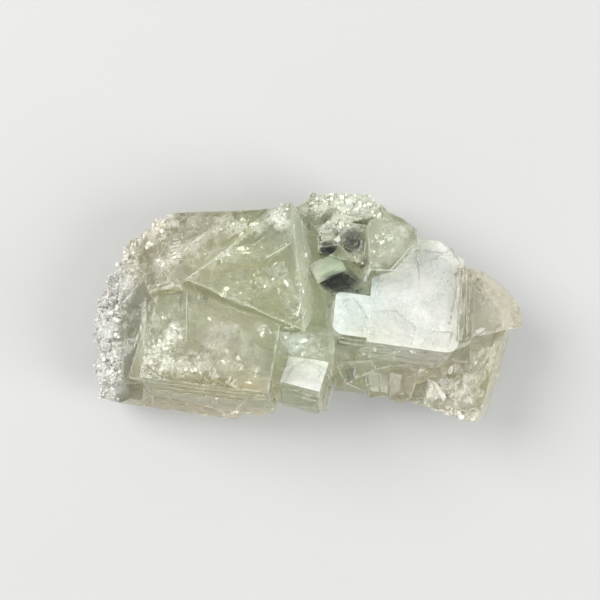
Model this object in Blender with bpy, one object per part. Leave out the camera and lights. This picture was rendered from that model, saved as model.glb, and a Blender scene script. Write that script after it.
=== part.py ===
"""A cluster of pale green fluorite crystals, grown together on a broken back, lying on that back.

Metres, +Z up. The origin is in the middle of the flat it rests on, and the crystals face up.
Places and sizes below are in millimetres and degrees, and MM turns them into metres.
"""

import math
import random

import bmesh
import bpy
from mathutils import Matrix, Vector, noise

MM = 0.001

# The places below are counted from a point close to the middle. This is the true middle of the box round the
# cluster, which is put over the origin.
BOX_MIDDLE = (-0.586, -0.114, 0.0)

# The broken mass that the crystals grew on. Its facets are about BACK_FACET wide. Its lumps, LUMP_WIDTHS across,
# stand up to BACK_ROUGHNESS high, and single chips BACK_GRAIN. Its foot is RIM_TUCK as wide as its rim.
BACK_FACET = 2.3
LONGEST_EDGE = 1.5 * BACK_FACET
BACK_ROUGHNESS = 0.9
LUMP_WIDTHS = (5.0, 2.2)
BACK_GRAIN = 0.3
BELOW_GROUND = 2.0
RIM_TUCK = 0.84

# Rims of the mass seen from above, each point with its height, and the points over which it is heaped.
LEFT_MASS_RIM = (
    (-25.6, -10.8, 4.4), (-25.9, -4.2, 5.0), (-25.0, 1.6, 5.2), (-21.6, 7.4, 5.6), (-16.4, 10.9, 6.4),
    (-6.0, 10.4, 6.6), (1.0, 12.2, 7.0), (6.5, 9.0, 7.0), (4.0, -9.6, 5.0), (-3.0, -11.2, 5.2),
    (-8.4, -12.4, 4.6), (-17.0, -12.2, 4.4),
)
LEFT_MASS_TOP = (
    (-22.0, -8.5, 10.6), (-22.4, 0.2, 10.4), (-17.4, 5.6, 10.6), (-9.0, 7.6, 10.4), (0.0, 8.5, 11.0),
    (2.0, -7.5, 10.0), (-8.0, -9.5, 10.0),
)
RIGHT_MASS_RIM = (
    (-2.0, -9.6, 4.8), (9.4, -10.2, 5.0), (19.8, -12.4, 4.8), (23.6, -3.4, 5.6), (23.2, 0.4, 6.0),
    (19.4, 4.4, 6.2), (13.0, 7.0, 6.6), (6.2, 12.0, 7.0), (-1.0, 11.4, 7.0),
)
RIGHT_MASS_TOP = (
    (2.0, -6.4, 10.2), (12.0, -8.0, 8.4), (19.0, -9.0, 9.4), (20.4, 0.0, 10.8), (12.0, 5.0, 11.0),
    (2.0, 8.0, 11.4),
)

# Cubic crystals: the lower left corner of the front face, the size across, up and back, and how far the front
# face tilts back, leans to the right and turns anticlockwise. A cleft is a corner broken off: a point of the
# break and the way it faces. A worn corner of the front face is rounded all the way back, by the radius given.
CUBES = {
    "left_cube": dict(
        corner=(-19.57, -8.09, 16.0), size=(15.2, 13.2, 9.6), tilt=22, lean=-8, turn=-6.5,
        clefts=(((-6.6, -13.0, 8.0), (0.75, -1.0, -0.5)), ((-19.3, 0.6, 13.3), (-1.0, 0.5, 0.3))),
    ),
    "left_cube_step": dict(corner=(-21.2, -8.4, 13.2), size=(2.6, 9.6, 5.0), tilt=16, lean=-34, turn=-5),
    "right_cube": dict(
        corner=(6.6, -4.0, 16.2), size=(10.9, 13.8, 7.2), tilt=20, lean=5, turn=-8,
        worn=(("lower right", 1.6),),
        clefts=(
            ((14.5, 7.8, 13.5), (0.36, 0.93, 0.2)), ((17.2, 6.3, 14.0), (0.6, 0.8, 0.1)),
            ((17.9, -2.6, 17.6), (1.0, -0.15, 0.9)),
        ),
    ),
    "right_cube_wing": dict(
        corner=(2.65, -3.01, 16.35), size=(5.4, 5.2, 7.2), tilt=20, lean=5, turn=-8,
        worn=(("lower left", 1.2), ("upper left", 0.7)), clefts=(((2.9, 1.9, 15.3), (-1.0, 0.25, 0.1)),),
    ),
    "small_cube": dict(corner=(-3.35, -8.73, 14.5), size=(4.8, 3.9, 6.5), tilt=28, lean=-9, turn=-13.8),
    "middle_cube": dict(corner=(-4.5, -7.4, 12.3), size=(7.3, 5.0, 6.4), tilt=-12, lean=-6, turn=-6),
    "step_cube": dict(
        corner=(1.1, 2.7, 14.2), size=(3.7, 3.3, 5.0), tilt=40, lean=2, turn=27,
        clefts=(((4.6, 5.4, 12.5), (0.9, 0.6, 0.1)),),
    ),
    "far_right_cube": dict(
        corner=(10.1, -11.0, 7.7), size=(11.0, 11.9, 8.0), tilt=5, lean=-18, turn=-16,
        clefts=(
            ((21.2, -13.4, 8.0), (0.35, -1.0, -0.1)), ((15.0, -12.5, 8.0), (-0.35, -1.0, 0.0)),
            ((24.9, -3.6, 7.0), (1.0, -0.3, -0.2)),
        ),
    ),
    "far_right_upper": dict(
        corner=(18.6, -3.9, 13.7), size=(7.6, 8.6, 3.6), tilt=9, lean=21, turn=2,
        clefts=(
            ((21.0, 3.9, 12.0), (0.35, 1.0, 0.1)), ((22.6, 2.7, 12.0), (0.6, 0.75, 0.1)),
            ((24.6, 0.4, 12.0), (0.85, 0.7, 0.2)), ((25.6, -1.0, 11.0), (1.0, 0.15, 0.2)),
            ((24.4, -2.6, 11.0), (0.2, -1.0, 0.0)),
        ),
    ),
}

# Thin plates of parallel growth, given the same way. Those by the right cube stand like the leaves of a book.
PLATES = {
    "leaf_near": dict(corner=(17.2, -3.8, 15.6), size=(0.55, 8.6, 4.2), tilt=12, lean=4, turn=-7),
    "leaf_middle": dict(corner=(17.9, -3.7, 14.9), size=(0.5, 8.2, 3.6), tilt=12, lean=4, turn=-6),
    "leaf_far": dict(corner=(18.55, -3.6, 14.2), size=(0.6, 7.6, 3.4), tilt=12, lean=4, turn=-6),
    "crest_plate": dict(corner=(9.3, 5.9, 15.3), size=(0.5, 4.3, 3.0), tilt=20, lean=-4, turn=-41),
    "left_ledge": dict(corner=(-18.9, 1.7, 13.5), size=(4.0, 0.9, 2.6), tilt=24, lean=-9, turn=9),
}

# Blocks broken all round: the corners of the front, and how far back they reach. The corners at the back are
# drawn together to BLOCK_TAPER of the width, and each block is the hull of them all.
BLOCK_TAPER = 0.9
BLOCKS = {
    "upper_left_block": dict(reach=5.0, front=(
        (-17.8, 9.8, 9.7), (-15.3, 2.5, 13.6), (-13.0, 11.0, 9.6), (-9.2, 10.9, 9.8), (-5.6, 10.5, 10.0),
        (-2.5, 11.7, 10.8), (-4.6, 7.9, 12.7), (-18.8, 1.7, 12.2), (-20.8, 5.3, 9.5), (-20.2, 8.1, 8.5),
        (-16.3, 11.4, 8.2), (-18.8, 10.0, 7.8),
    )),
    "crest_block": dict(reach=5.0, front=(
        (9.8, 4.1, 16.4), (7.1, 4.3, 16.2), (6.7, 3.9, 15.8), (6.3, 2.9, 15.2), (12.5, 7.1, 15.5),
        (12.8, 9.0, 13.0), (11.2, 10.4, 12.4), (9.2, 11.3, 12.2), (6.9, 9.8, 13.8), (6.6, 5.4, 15.0),
    )),
    "crest_ridge": dict(reach=4.5, front=(
        (9.5, 11.2, 10.8), (6.9, 13.5, 9.8), (3.9, 13.5, 9.8), (1.4, 13.3, 9.4), (0.3, 12.8, 9.2),
        (1.0, 9.0, 12.4), (3.4, 10.4, 13.0), (6.8, 10.4, 13.0), (-1.6, 12.0, 9.0),
    )),
    "crest_foot": dict(reach=4.0, front=(
        (0.9, 9.6, 12.0), (1.1, 6.4, 13.2), (3.6, 5.6, 13.8), (6.4, 5.0, 14.0), (7.0, 9.6, 13.0),
        (3.4, 10.2, 12.6),
    )),
    "lower_prism": dict(reach=3.0, front=(
        (3.2, -6.7, 10.8), (7.6, -6.3, 10.9), (8.1, -7.6, 10.6), (4.5, -9.2, 10.4), (3.1, -8.6, 9.8),
        (3.2, -10.3, 7.2), (5.3, -10.1, 7.4), (7.4, -10.6, 7.6),
    )),
    "lower_block": dict(reach=3.0, front=(
        (6.8, -7.6, 10.4), (10.0, -7.0, 10.8), (10.4, -9.2, 10.2), (10.4, -10.9, 8.2), (7.4, -11.1, 8.0),
        (6.9, -9.4, 9.9),
    )),
    "lower_wedge": dict(reach=3.4, front=(
        (9.6, -7.2, 10.2), (11.6, -6.8, 11.6), (13.2, -7.6, 11.6), (12.4, -11.0, 9.6), (11.3, -11.9, 8.2),
        (9.9, -11.2, 8.0),
    )),
    "left_tip": dict(reach=1.6, front=(
        (-25.9, -11.3, 5.2), (-24.9, -9.2, 7.4), (-19.4, -9.2, 9.4), (-19.2, -12.4, 6.6), (-23.0, -12.0, 5.8),
    )),
    "lower_left_lobe": dict(reach=3.4, front=(
        (-19.6, -9.6, 12.0), (-20.4, -12.2, 7.0), (-14.4, -12.8, 7.0), (-10.9, -13.6, 6.8), (-8.6, -13.8, 7.0),
        (-6.6, -11.6, 8.4), (-7.0, -10.0, 12.6),
    )),
    "lower_right_lobe": dict(reach=3.0, front=(
        (-4.4, -9.8, 9.6), (-4.2, -11.7, 6.6), (-0.8, -12.3, 6.6), (2.2, -12.8, 7.2), (2.9, -10.2, 9.0),
        (2.6, -8.0, 10.6),
    )),
}

# The octahedral crystal in the middle, one three-cornered face to the front.
OCTAHEDRON_EDGE = 15.2
OCTAHEDRON_FRONT = (-5.6, 4.2, 15.3)
OCTAHEDRON_TURN = -38.6
OCTAHEDRON_TILT = 2
OCTAHEDRON_LEAN = -5

# A round hollow in the upper block: its middle, its radius and how much it is flattened.
HOLLOW_PLACE = (5.0, 7.5, 13.8)
HOLLOW_RADIUS = 1.25
HOLLOW_FLATTENING = 0.75
HOLLOW_SEGMENTS = (14, 8)

# Deep notches between the crystals, given like the blocks, from above the surface down.
NOTCHES = {
    "notch_below_step": dict(reach=8.5, front=(
        (1.05, 2.75, 19.0), (3.95, 4.15, 19.0), (4.35, 3.5, 19.0), (6.2, 2.75, 19.0), (5.35, 2.1, 19.0),
        (3.2, 2.3, 19.0), (2.4, 1.4, 19.0),
    )),
    "notch_above_step": dict(reach=7.6, front=(
        (1.25, 7.0, 19.0), (3.75, 7.15, 19.0), (2.9, 6.35, 19.0), (1.6, 5.5, 19.0),
    )),
}

# Rows of sugary grains, small boxes half sunk in the rims: how far they tip and turn, how many there are, how
# big they are, and the run of places they follow.
GRAIN_SEED = 5
GRAIN_SHAPE = (1.0, 0.85, 0.95)
GRAIN_TURN_SPREAD = 16
GRAIN_TIP = 20
GRAIN_TIP_SPREAD = 9
GRAIN_ROWS = (
    dict(count=26, size=(1.0, 1.7), spread=0.3, run=(
        (-25.1, -9.6, 5.2), (-25.5, -4.4, 5.6), (-24.6, 1.4, 5.8), (-21.3, 7.1, 6.4), (-17.4, 10.1, 7.0),
    )),
    dict(count=22, size=(1.1, 1.9), spread=0.45, run=(
        (-23.9, -9.6, 7.2), (-24.3, -4.2, 7.5), (-23.3, 1.2, 7.7), (-20.2, 6.4, 8.0), (-17.6, 8.6, 8.4),
    )),
    dict(count=18, size=(1.2, 2.0), spread=0.5, run=(
        (-22.8, -8.6, 9.0), (-22.9, -4.0, 9.3), (-21.9, 0.8, 9.5), (-19.2, 5.2, 9.7),
    )),
    dict(count=10, size=(0.9, 1.7), spread=0.4, run=((0.6, 12.6, 9.4), (4.0, 12.8, 10.4), (8.6, 10.8, 11.2))),
)

# Smaller crystals on the sides: how many go round, how big, and the run they follow. They face outwards and a
# little down. The cluster is long, so they turn more to its long sides than straight away from its middle.
SIDE_CRYSTALS = 17
SIDE_CRYSTAL_SIZE = (2.4, 4.4)
SIDE_CRYSTAL_SPREAD = 1.0
SIDE_TURN = 2.5
SIDE_DROOP = -2.0
SIDE_RUN = (
    (22.0, -3.4, 4.0), (20.6, 1.2, 4.4), (17.4, 3.6, 4.0), (11.0, 6.4, 4.8), (4.0, 10.0, 4.2), (-5.6, 8.6, 4.6),
    (-15.0, 8.6, 3.8), (-20.0, 5.0, 4.2), (-22.6, -4.0, 3.2), (-20.4, -9.4, 3.4), (-12.6, -10.4, 3.4),
    (-5.6, -9.6, 3.0), (3.6, -7.4, 3.0), (11.6, -8.6, 3.2), (18.4, -10.6, 3.4),
)

# How many flats a worn corner is rounded with.
WORN_SEGMENTS = 6

# The block that cuts the flat on which the cluster rests: wider than the cluster, and as deep as its foot.
GROUND_WIDTH = 90
GROUND_DEPTH = 30


def collection(name, shown):
    group = bpy.data.collections.new(name)
    bpy.context.scene.collection.children.link(group)
    group.hide_render = not shown
    return group


def add_solid(name, mesh, group):
    """The bmesh as an object, with its faces pointing out, centred on the origin and in metres."""
    bmesh.ops.recalc_face_normals(mesh, faces=mesh.faces)
    bmesh.ops.translate(mesh, verts=mesh.verts, vec=-Vector(BOX_MIDDLE))
    bmesh.ops.scale(mesh, verts=mesh.verts, vec=(MM, MM, MM))
    data = bpy.data.meshes.new(name)
    mesh.to_mesh(data)
    mesh.free()
    solid = bpy.data.objects.new(name, data)
    group.objects.link(solid)
    if group.hide_render:
        solid.hide_render = True
        solid.display_type = "WIRE"
    return solid


def facing(tilt, lean, turn):
    """The turn that takes a face pointing straight up to one tilted back, leaning right and turned."""
    return (
        Matrix.Rotation(math.radians(turn), 4, "Z")
        @ Matrix.Rotation(math.radians(lean), 4, "Y")
        @ Matrix.Rotation(math.radians(-tilt), 4, "X")
    )


def cleave(mesh, place, way):
    """Break off what lies beyond a plane, and close the break with a flat face."""
    cut = bmesh.ops.bisect_plane(
        mesh, geom=mesh.verts[:] + mesh.edges[:] + mesh.faces[:], plane_co=place, plane_no=way, clear_outer=True
    )
    edges = [part for part in cut["geom_cut"] if isinstance(part, bmesh.types.BMEdge)]
    if edges:
        bmesh.ops.contextual_create(mesh, geom=edges)


def wear_corner(mesh, name, radius):
    """Round the edge of a box that runs back from a corner of its front face."""
    up = 1 if "upper" in name else -1
    right = 1 if "right" in name else -1
    for edge in mesh.edges[:]:
        if all(end.co.x * right > 0 and end.co.y * up > 0 for end in edge.verts):
            bmesh.ops.bevel(mesh, geom=[edge], offset=radius, segments=WORN_SEGMENTS, affect="EDGES", profile=0.5)
            return


def cube_crystal(corner, size, tilt, lean, turn, clefts=(), worn=()):
    """A box whose front face's lower left corner is at corner, and which reaches back from that face."""
    mesh = bmesh.new()
    bmesh.ops.create_cube(mesh, size=1)
    bmesh.ops.scale(mesh, verts=mesh.verts, vec=size)
    for name, radius in worn:
        wear_corner(mesh, name, radius)
    bmesh.ops.translate(mesh, verts=mesh.verts, vec=(size[0] / 2, size[1] / 2, -size[2] / 2))
    bmesh.ops.transform(mesh, verts=mesh.verts, matrix=Matrix.Translation(corner) @ facing(tilt, lean, turn))
    for place, way in clefts:
        cleave(mesh, place, way)
    return mesh


def octahedral_crystal(edge, front, tilt, lean, turn):
    """A regular octahedron with the middle of one face at front, that face pointing up before it is turned."""
    mesh = bmesh.new()
    radius = edge / math.sqrt(2)
    bmesh.ops.create_uvsphere(mesh, u_segments=4, v_segments=2, radius=radius)
    face_up = Vector((1, 1, 1)).rotation_difference(Vector((0, 0, 1))).to_matrix().to_4x4()
    depth = radius / math.sqrt(3)
    place = Matrix.Translation(front) @ facing(tilt, lean, turn) @ Matrix.Translation((0, 0, -depth)) @ face_up
    bmesh.ops.transform(mesh, verts=mesh.verts, matrix=place)
    return mesh


def hull(mesh):
    """Wrap the mesh's points in their hull, and drop the points that lie inside it."""
    wrapped = bmesh.ops.convex_hull(mesh, input=mesh.verts)
    inside = {v for v in wrapped["geom_interior"] + wrapped["geom_unused"] if isinstance(v, bmesh.types.BMVert)}
    bmesh.ops.delete(mesh, geom=list(inside), context="VERTS")


def broken_block(front, reach):
    """The hull of a block's front corners and of the same corners sunk back and drawn together a little."""
    mesh = bmesh.new()
    middle = sum((Vector(p[:2]) for p in front), Vector((0, 0))) / len(front)
    for x, y, z in front:
        mesh.verts.new((x, y, z))
        back = middle + (Vector((x, y)) - middle) * BLOCK_TAPER
        mesh.verts.new((back.x, back.y, z - reach))
    hull(mesh)
    return mesh


def broken_mass(rim, top):
    """The hull of a rim, its tucked-in foot and its top, cut fine and roughened like a break."""
    mesh = bmesh.new()
    middle = sum((Vector(p[:2]) for p in rim), Vector((0, 0))) / len(rim)
    for x, y, z in rim:
        mesh.verts.new((x, y, z))
        foot = middle + (Vector((x, y)) - middle) * RIM_TUCK
        mesh.verts.new((foot.x, foot.y, -BELOW_GROUND))
    for point in top:
        mesh.verts.new(point)
    hull(mesh)
    bmesh.ops.triangulate(mesh, faces=mesh.faces)
    while True:
        long_edges = [e for e in mesh.edges if e.calc_length() > LONGEST_EDGE]
        if not long_edges:
            break
        bmesh.ops.subdivide_edges(mesh, edges=long_edges, cuts=1)
        bmesh.ops.triangulate(mesh, faces=mesh.faces)
    mesh.normal_update()
    moves = {}
    wide, narrow = LUMP_WIDTHS
    for vertex in mesh.verts:
        lump = noise.noise(vertex.co / wide) + 0.5 * noise.noise(vertex.co / narrow)
        chip = noise.cell(vertex.co / BACK_FACET) - 0.5
        moves[vertex] = vertex.normal * (lump * BACK_ROUGHNESS + chip * BACK_GRAIN)
    for vertex, move in moves.items():
        vertex.co += move
    return mesh


def along(run, share):
    """The place at a share, from 0 to 1, of the way along a run of places."""
    steps = [Vector(b) - Vector(a) for a, b in zip(run, run[1:])]
    left = share * sum(step.length for step in steps)
    for start, step in zip(run, steps):
        if left <= step.length:
            return Vector(start) + step * (left / step.length)
        left -= step.length
    return Vector(run[-1])


def grain(chance, place, size, spread):
    """One sugary grain: a small box, turned and tipped a little, near a place."""
    sides = [chance.uniform(*size) * share for share in GRAIN_SHAPE]
    place = place + Vector([chance.uniform(-spread, spread) for axis in range(3)])
    turned = facing(
        chance.gauss(GRAIN_TIP, GRAIN_TIP_SPREAD),
        chance.gauss(-GRAIN_TIP, GRAIN_TIP_SPREAD),
        chance.gauss(0, GRAIN_TURN_SPREAD),
    )
    mesh = bmesh.new()
    bmesh.ops.create_cube(mesh, size=1)
    bmesh.ops.scale(mesh, verts=mesh.verts, vec=sides)
    bmesh.ops.transform(mesh, verts=mesh.verts, matrix=Matrix.Translation(place) @ turned)
    return mesh


def add_grains(group):
    chance = random.Random(GRAIN_SEED)
    for row_number, row in enumerate(GRAIN_ROWS):
        for number in range(row["count"]):
            place = along(row["run"], (number + 0.5) / row["count"])
            name = f"grain_{row_number}_{number}"
            add_solid(name, grain(chance, place, row["size"], row["spread"]), group)


def add_side_crystals(group):
    chance = random.Random(GRAIN_SEED)
    for number in range(SIDE_CRYSTALS):
        place = along(SIDE_RUN, (number + 0.5) / SIDE_CRYSTALS)
        place.z += chance.uniform(-1, 1) * SIDE_CRYSTAL_SPREAD
        outward = Vector((place.x, SIDE_TURN * place.y, SIDE_DROOP)).to_track_quat("Z", "Y")
        turned = outward.to_matrix().to_4x4() @ Matrix.Rotation(chance.uniform(0, math.pi / 2), 4, "Z")
        mesh = bmesh.new()
        bmesh.ops.create_cube(mesh, size=chance.uniform(*SIDE_CRYSTAL_SIZE))
        bmesh.ops.transform(mesh, verts=mesh.verts, matrix=Matrix.Translation(place) @ turned)
        add_solid(f"side_crystal_{number}", mesh, group)


def ground_cutter():
    """All that lies below the flat on which the cluster rests."""
    mesh = bmesh.new()
    bmesh.ops.create_cube(mesh, size=1)
    bmesh.ops.scale(mesh, verts=mesh.verts, vec=(GROUND_WIDTH, GROUND_WIDTH, GROUND_DEPTH))
    bmesh.ops.translate(mesh, verts=mesh.verts, vec=(0, 0, -GROUND_DEPTH / 2))
    return mesh


def hollow_cutter():
    """The round hollow in the upper block."""
    mesh = bmesh.new()
    around, down = HOLLOW_SEGMENTS
    bmesh.ops.create_uvsphere(mesh, u_segments=around, v_segments=down, radius=HOLLOW_RADIUS)
    bmesh.ops.scale(mesh, verts=mesh.verts, vec=(1, 1, HOLLOW_FLATTENING))
    bmesh.ops.translate(mesh, verts=mesh.verts, vec=HOLLOW_PLACE)
    return mesh


def fluorite_material():
    material = bpy.data.materials.new("fluorite")
    material.use_nodes = True
    shader = material.node_tree.nodes["Principled BSDF"]
    shader.inputs["Base Color"].default_value = (0.62, 0.74, 0.56, 1)
    shader.inputs["Roughness"].default_value = 0.12
    shader.inputs["Metallic"].default_value = 0.0
    shader.inputs["IOR"].default_value = 1.434
    shader.inputs["Transmission Weight"].default_value = 0.9
    return material


def boolean(target, operation, group):
    step = target.modifiers.new(operation.lower(), "BOOLEAN")
    step.operation = operation
    step.solver = "EXACT"
    step.operand_type = "COLLECTION"
    step.collection = group


def build():
    for old in list(bpy.data.objects):
        bpy.data.objects.remove(old)
    specimen = collection("fluorite crystal cluster", shown=True)
    grown = collection("crystals to fuse", shown=False)
    cutters = collection("cutters", shown=False)

    cluster = add_solid("fluorite_cluster", broken_mass(LEFT_MASS_RIM, LEFT_MASS_TOP), specimen)
    add_solid("right_mass", broken_mass(RIGHT_MASS_RIM, RIGHT_MASS_TOP), grown)
    for name, shape in {**CUBES, **PLATES}.items():
        add_solid(name, cube_crystal(**shape), grown)
    for name, shape in BLOCKS.items():
        add_solid(name, broken_block(**shape), grown)
    octahedron = octahedral_crystal(
        OCTAHEDRON_EDGE, OCTAHEDRON_FRONT, OCTAHEDRON_TILT, OCTAHEDRON_LEAN, OCTAHEDRON_TURN
    )
    add_solid("middle_octahedron", octahedron, grown)
    add_grains(grown)
    add_side_crystals(grown)
    add_solid("ground", ground_cutter(), cutters)
    add_solid("hollow", hollow_cutter(), cutters)
    for name, shape in NOTCHES.items():
        add_solid(name, broken_block(**shape), cutters)
    boolean(cluster, "UNION", grown)
    boolean(cluster, "DIFFERENCE", cutters)
    cluster.data.materials.append(fluorite_material())


build()
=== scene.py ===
"""Looks of a small cluster of pale green, see-through fluorite crystals that lies on its broken back.

Places and sizes on the crystals are in millimetres, counted as in the model's own construction, and place()
turns them into the frame's metres. A place on a crystal's front face is how far right and up it lies on that
face. Spots are pixels of the photograph, and seen() finds the surface under them.
"""

import math
import random

import bmesh
import bpy
from mathutils import Euler, Matrix, Vector, noise
from mathutils.bvhtree import BVHTree


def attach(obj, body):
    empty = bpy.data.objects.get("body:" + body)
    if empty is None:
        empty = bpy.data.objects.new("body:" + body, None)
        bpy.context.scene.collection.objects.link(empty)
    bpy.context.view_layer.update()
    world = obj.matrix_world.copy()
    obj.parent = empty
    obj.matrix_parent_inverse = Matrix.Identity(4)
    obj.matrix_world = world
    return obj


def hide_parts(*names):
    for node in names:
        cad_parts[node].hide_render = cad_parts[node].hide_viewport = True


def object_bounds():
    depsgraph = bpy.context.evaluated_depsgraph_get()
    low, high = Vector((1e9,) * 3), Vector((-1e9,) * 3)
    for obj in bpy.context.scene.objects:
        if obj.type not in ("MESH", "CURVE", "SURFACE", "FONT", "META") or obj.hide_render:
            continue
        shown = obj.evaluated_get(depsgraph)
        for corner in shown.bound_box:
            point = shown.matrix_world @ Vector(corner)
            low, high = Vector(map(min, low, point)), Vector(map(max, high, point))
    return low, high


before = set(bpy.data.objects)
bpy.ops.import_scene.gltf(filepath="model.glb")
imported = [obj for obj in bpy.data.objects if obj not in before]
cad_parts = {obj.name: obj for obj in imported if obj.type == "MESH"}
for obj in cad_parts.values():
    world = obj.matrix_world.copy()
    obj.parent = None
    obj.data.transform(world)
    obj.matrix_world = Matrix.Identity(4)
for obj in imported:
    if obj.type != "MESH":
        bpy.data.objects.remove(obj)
cad_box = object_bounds()

MM = 0.001
BOX_MIDDLE = Vector((-0.586, -0.114, 0.0))

# The camera looks straight down from this far above the crystals' middle height, and sees this width there.
PHOTO_WIDTH = 600
CAMERA_PLACE = (-1.02, 0.78)
CAMERA_DISTANCE = 150.0
CAMERA_PLANE = 10.0
CAMERA_WIDTH = 72.0
SENSOR_WIDTH = 36.0

# The surface is cut into squares of this size, so that the roughening has points to move. Points this close
# are one, and faces that meet at less than the first angle are one flat face. Edges sharper than the second
# angle, in degrees, are shaded sharp.
GRID_STEP = 0.36
WELD_DISTANCE = 0.001
FLAT_ANGLE = 0.6
SHARP_ANGLE = 24

# A face of this area, in square millimetres, is a crystal face and stays smooth. A smaller one is a break.
SMOOTH_AREA = 5.0

# A face lies on a crystal's front face if it faces the same way, by the cosine of the angle between them, and
# lies no further below or above it than this.
FRONT_PARALLEL = 0.999
FRONT_REACH = (-0.05, 0.4)

# What lies lower than this is the flat that the cluster rests on, which stays flat.
REST_HEIGHT = 0.05

# An edge that turns outward by more than this, in radians, is worn in, by at least the first depth and by up
# to the second more.
EDGE_ANGLE = 0.5
EDGE_WEAR = (0.02, 0.05)

# Fluorite's index of refraction, and how its green takes up light on the way through.
IOR = 1.434
ABSORPTION_COLOR = (0.71, 0.78, 0.20, 1)
ABSORPTION_DENSITY = 14.0

# The kinds of face that the added shapes have, and how frosted and how dark each is. A clear face takes the
# looks of the surface around it. The bright kind is white frost, and a painted highlight where it marks a
# glint.
KIND_NAMES = ("clear", "bright", "white", "pale", "grey", "dark")
CLEAR, FROST_AND_GLINT, WHITE, PALE, PAINTED_SHADE, DARK = range(len(KIND_NAMES))
# The grey kind is darkened as painted shade.
KIND_LOOKS = {
    FROST_AND_GLINT: (0.75, 0.0), WHITE: (0.7, 0.0), PALE: (0.24, 0.0), PAINTED_SHADE: (0.08, 0.5), DARK: (0.1, 0.85),
}
KIND_SLOTS = [bpy.data.materials.new(name) for name in KIND_NAMES]

# Front faces of the crystals: lower left corner, and in degrees the tilt back, lean right and turn
# anticlockwise.
FRONTS = {
    "left": dict(corner=(-19.57, -8.09, 16.0), tilt=22, lean=-8, turn=-6.5),
    "right": dict(corner=(6.6, -4.0, 16.2), tilt=20, lean=5, turn=-8),
    "wing": dict(corner=(2.65, -3.01, 16.35), tilt=20, lean=5, turn=-8),
    "small": dict(corner=(-3.35, -8.73, 14.5), tilt=28, lean=-9, turn=-13.8),
    "middle": dict(corner=(-4.5, -7.4, 12.3), tilt=-12, lean=-6, turn=-6),
    "step": dict(corner=(1.1, 2.7, 14.2), tilt=40, lean=2, turn=27),
    "far_right": dict(corner=(10.1, -11.0, 7.7), tilt=5, lean=-18, turn=-16),
    "far_right_upper": dict(corner=(18.6, -3.9, 13.7), tilt=9, lean=21, turn=2),
    "octahedron": dict(corner=(-5.6, 4.2, 15.3), tilt=2, lean=-5, turn=-38.6),
}

# How white and frosted each front face is, from 0, clear, to 1.
FACE_FROST = {
    "right": 0.8, "wing": 0.84, "small": 0.84, "far_right_upper": 0.24, "left": 0.06, "far_right": 0.04,
    "middle": 0.16, "step": 0.5, "octahedron": 0.05,
}

# Sides of the crystals that are frosted all over: a spot of the photograph on each, and how much.
FROSTED_SIDES = (
    ((307, 235), 0.46), ((309, 262), 0.46), ((310, 290), 0.42), ((495, 370), 0.5), ((505, 345), 0.5),
    ((380, 350), 0.42), ((430, 358), 0.42), ((345, 344), 0.42), ((400, 232), 0.24), ((384, 245), 0.2),
)

# Terraces of growth on the front faces: the outline on the face, and how far it stands proud.
TERRACES = (
    ("right", ((4.9, 12.2), (5.6, 8.6), (5.9, 6.0), (7.1, 3.1), (9.6, 3.5), (10.2, 8.0), (9.3, 12.4)), 0.07),
    ("right", ((0.4, 0.4), (5.2, 0.3), (5.7, 2.6), (3.2, 4.3), (0.3, 3.7)), 0.05),
    ("right", ((6.8, 11.2), (9.2, 12.9), (10.4, 11.4), (9.9, 9.4), (7.3, 9.0)), 0.13),
    ("right", ((0.5, 5.4), (2.8, 5.2), (4.2, 7.8), (3.6, 10.6), (1.0, 10.2)), 0.05),
    ("right", ((6.4, 0.5), (9.5, 0.6), (10.0, 2.6), (7.6, 2.4)), 0.06),
    ("wing", ((1.2, 0.6), (3.4, 0.4), (3.9, 2.6), (2.2, 4.6), (0.7, 4.1)), 0.05),
    ("small", ((0.6, 0.4), (4.2, 0.5), (4.4, 3.1), (2.2, 3.5), (0.9, 2.4)), 0.06),
    (
        "far_right_upper",
        ((0.5, 7.4), (0.77, 5.84), (1.84, 5.81), (1.8, 5.46), (2.46, 5.44), (2.7, 7.2)), 0.14,
    ),
    ("far_right_upper", ((0.5, 0.4), (3.2, 0.5), (4.6, 2.4), (3.4, 4.9), (1.5, 5.3)), 0.1),
    ("far_right_upper", ((4.9, 1.0), (6.9, 1.0), (6.0, 3.4), (4.9, 3.8)), 0.1),
)

# Ledges along the sides of the cubes: the front face they hang from, how far along it they run, how far down
# the side, and how far they stand out of it.
LEDGES = (
    ("right", (0.2, 9.2), (0.9, 1.2), 0.08),
    ("right", (0.4, 8.8), (2.0, 2.2), 0.1),
    ("right", (0.1, 9.1), (3.2, 3.8), 0.1),
    ("right", (1.2, 9.0), (4.9, 5.3), 0.2),
    ("wing", (1.3, 5.0), (1.1, 1.4), 0.08),
    ("wing", (1.4, 5.2), (2.6, 3.1), 0.12),
    ("left", (0.6, 14.6), (0.9, 1.2), 0.12),
    ("left", (3.0, 15.0), (2.2, 2.7), 0.16),
    ("left", (0.8, 12.0), (3.7, 4.1), 0.14),
    ("small", (0.2, 4.6), (1.2, 1.5), 0.1),
    ("small", (0.3, 4.4), (2.6, 3.0), 0.12),
)

# Shells broken out of the front faces: the place, how wide and how deep.
CHIPS = (
    ("left", (7.4, 0.7), 1.8, 0.22), ("left", (4.4, 1.1), 1.2, 0.12), ("left", (10.2, 0.2), 1.3, 0.16),
    ("far_right", (6.1, 5.3), 1.1, 0.2), ("far_right", (3.2, 2.6), 1.7, 0.35),
    ("far_right", (6.5, 0.6), 1.4, 0.25), ("far_right", (9.3, 0.9), 1.0, 0.15),
    ("middle", (5.0, 3.6), 1.6, 0.3),
)

# How far above the face the tool that breaks a shell out of it ends, and how many sides its ball has.
CHIP_RISE = 0.12
CHIP_SEGMENTS = (40, 80)
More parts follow.
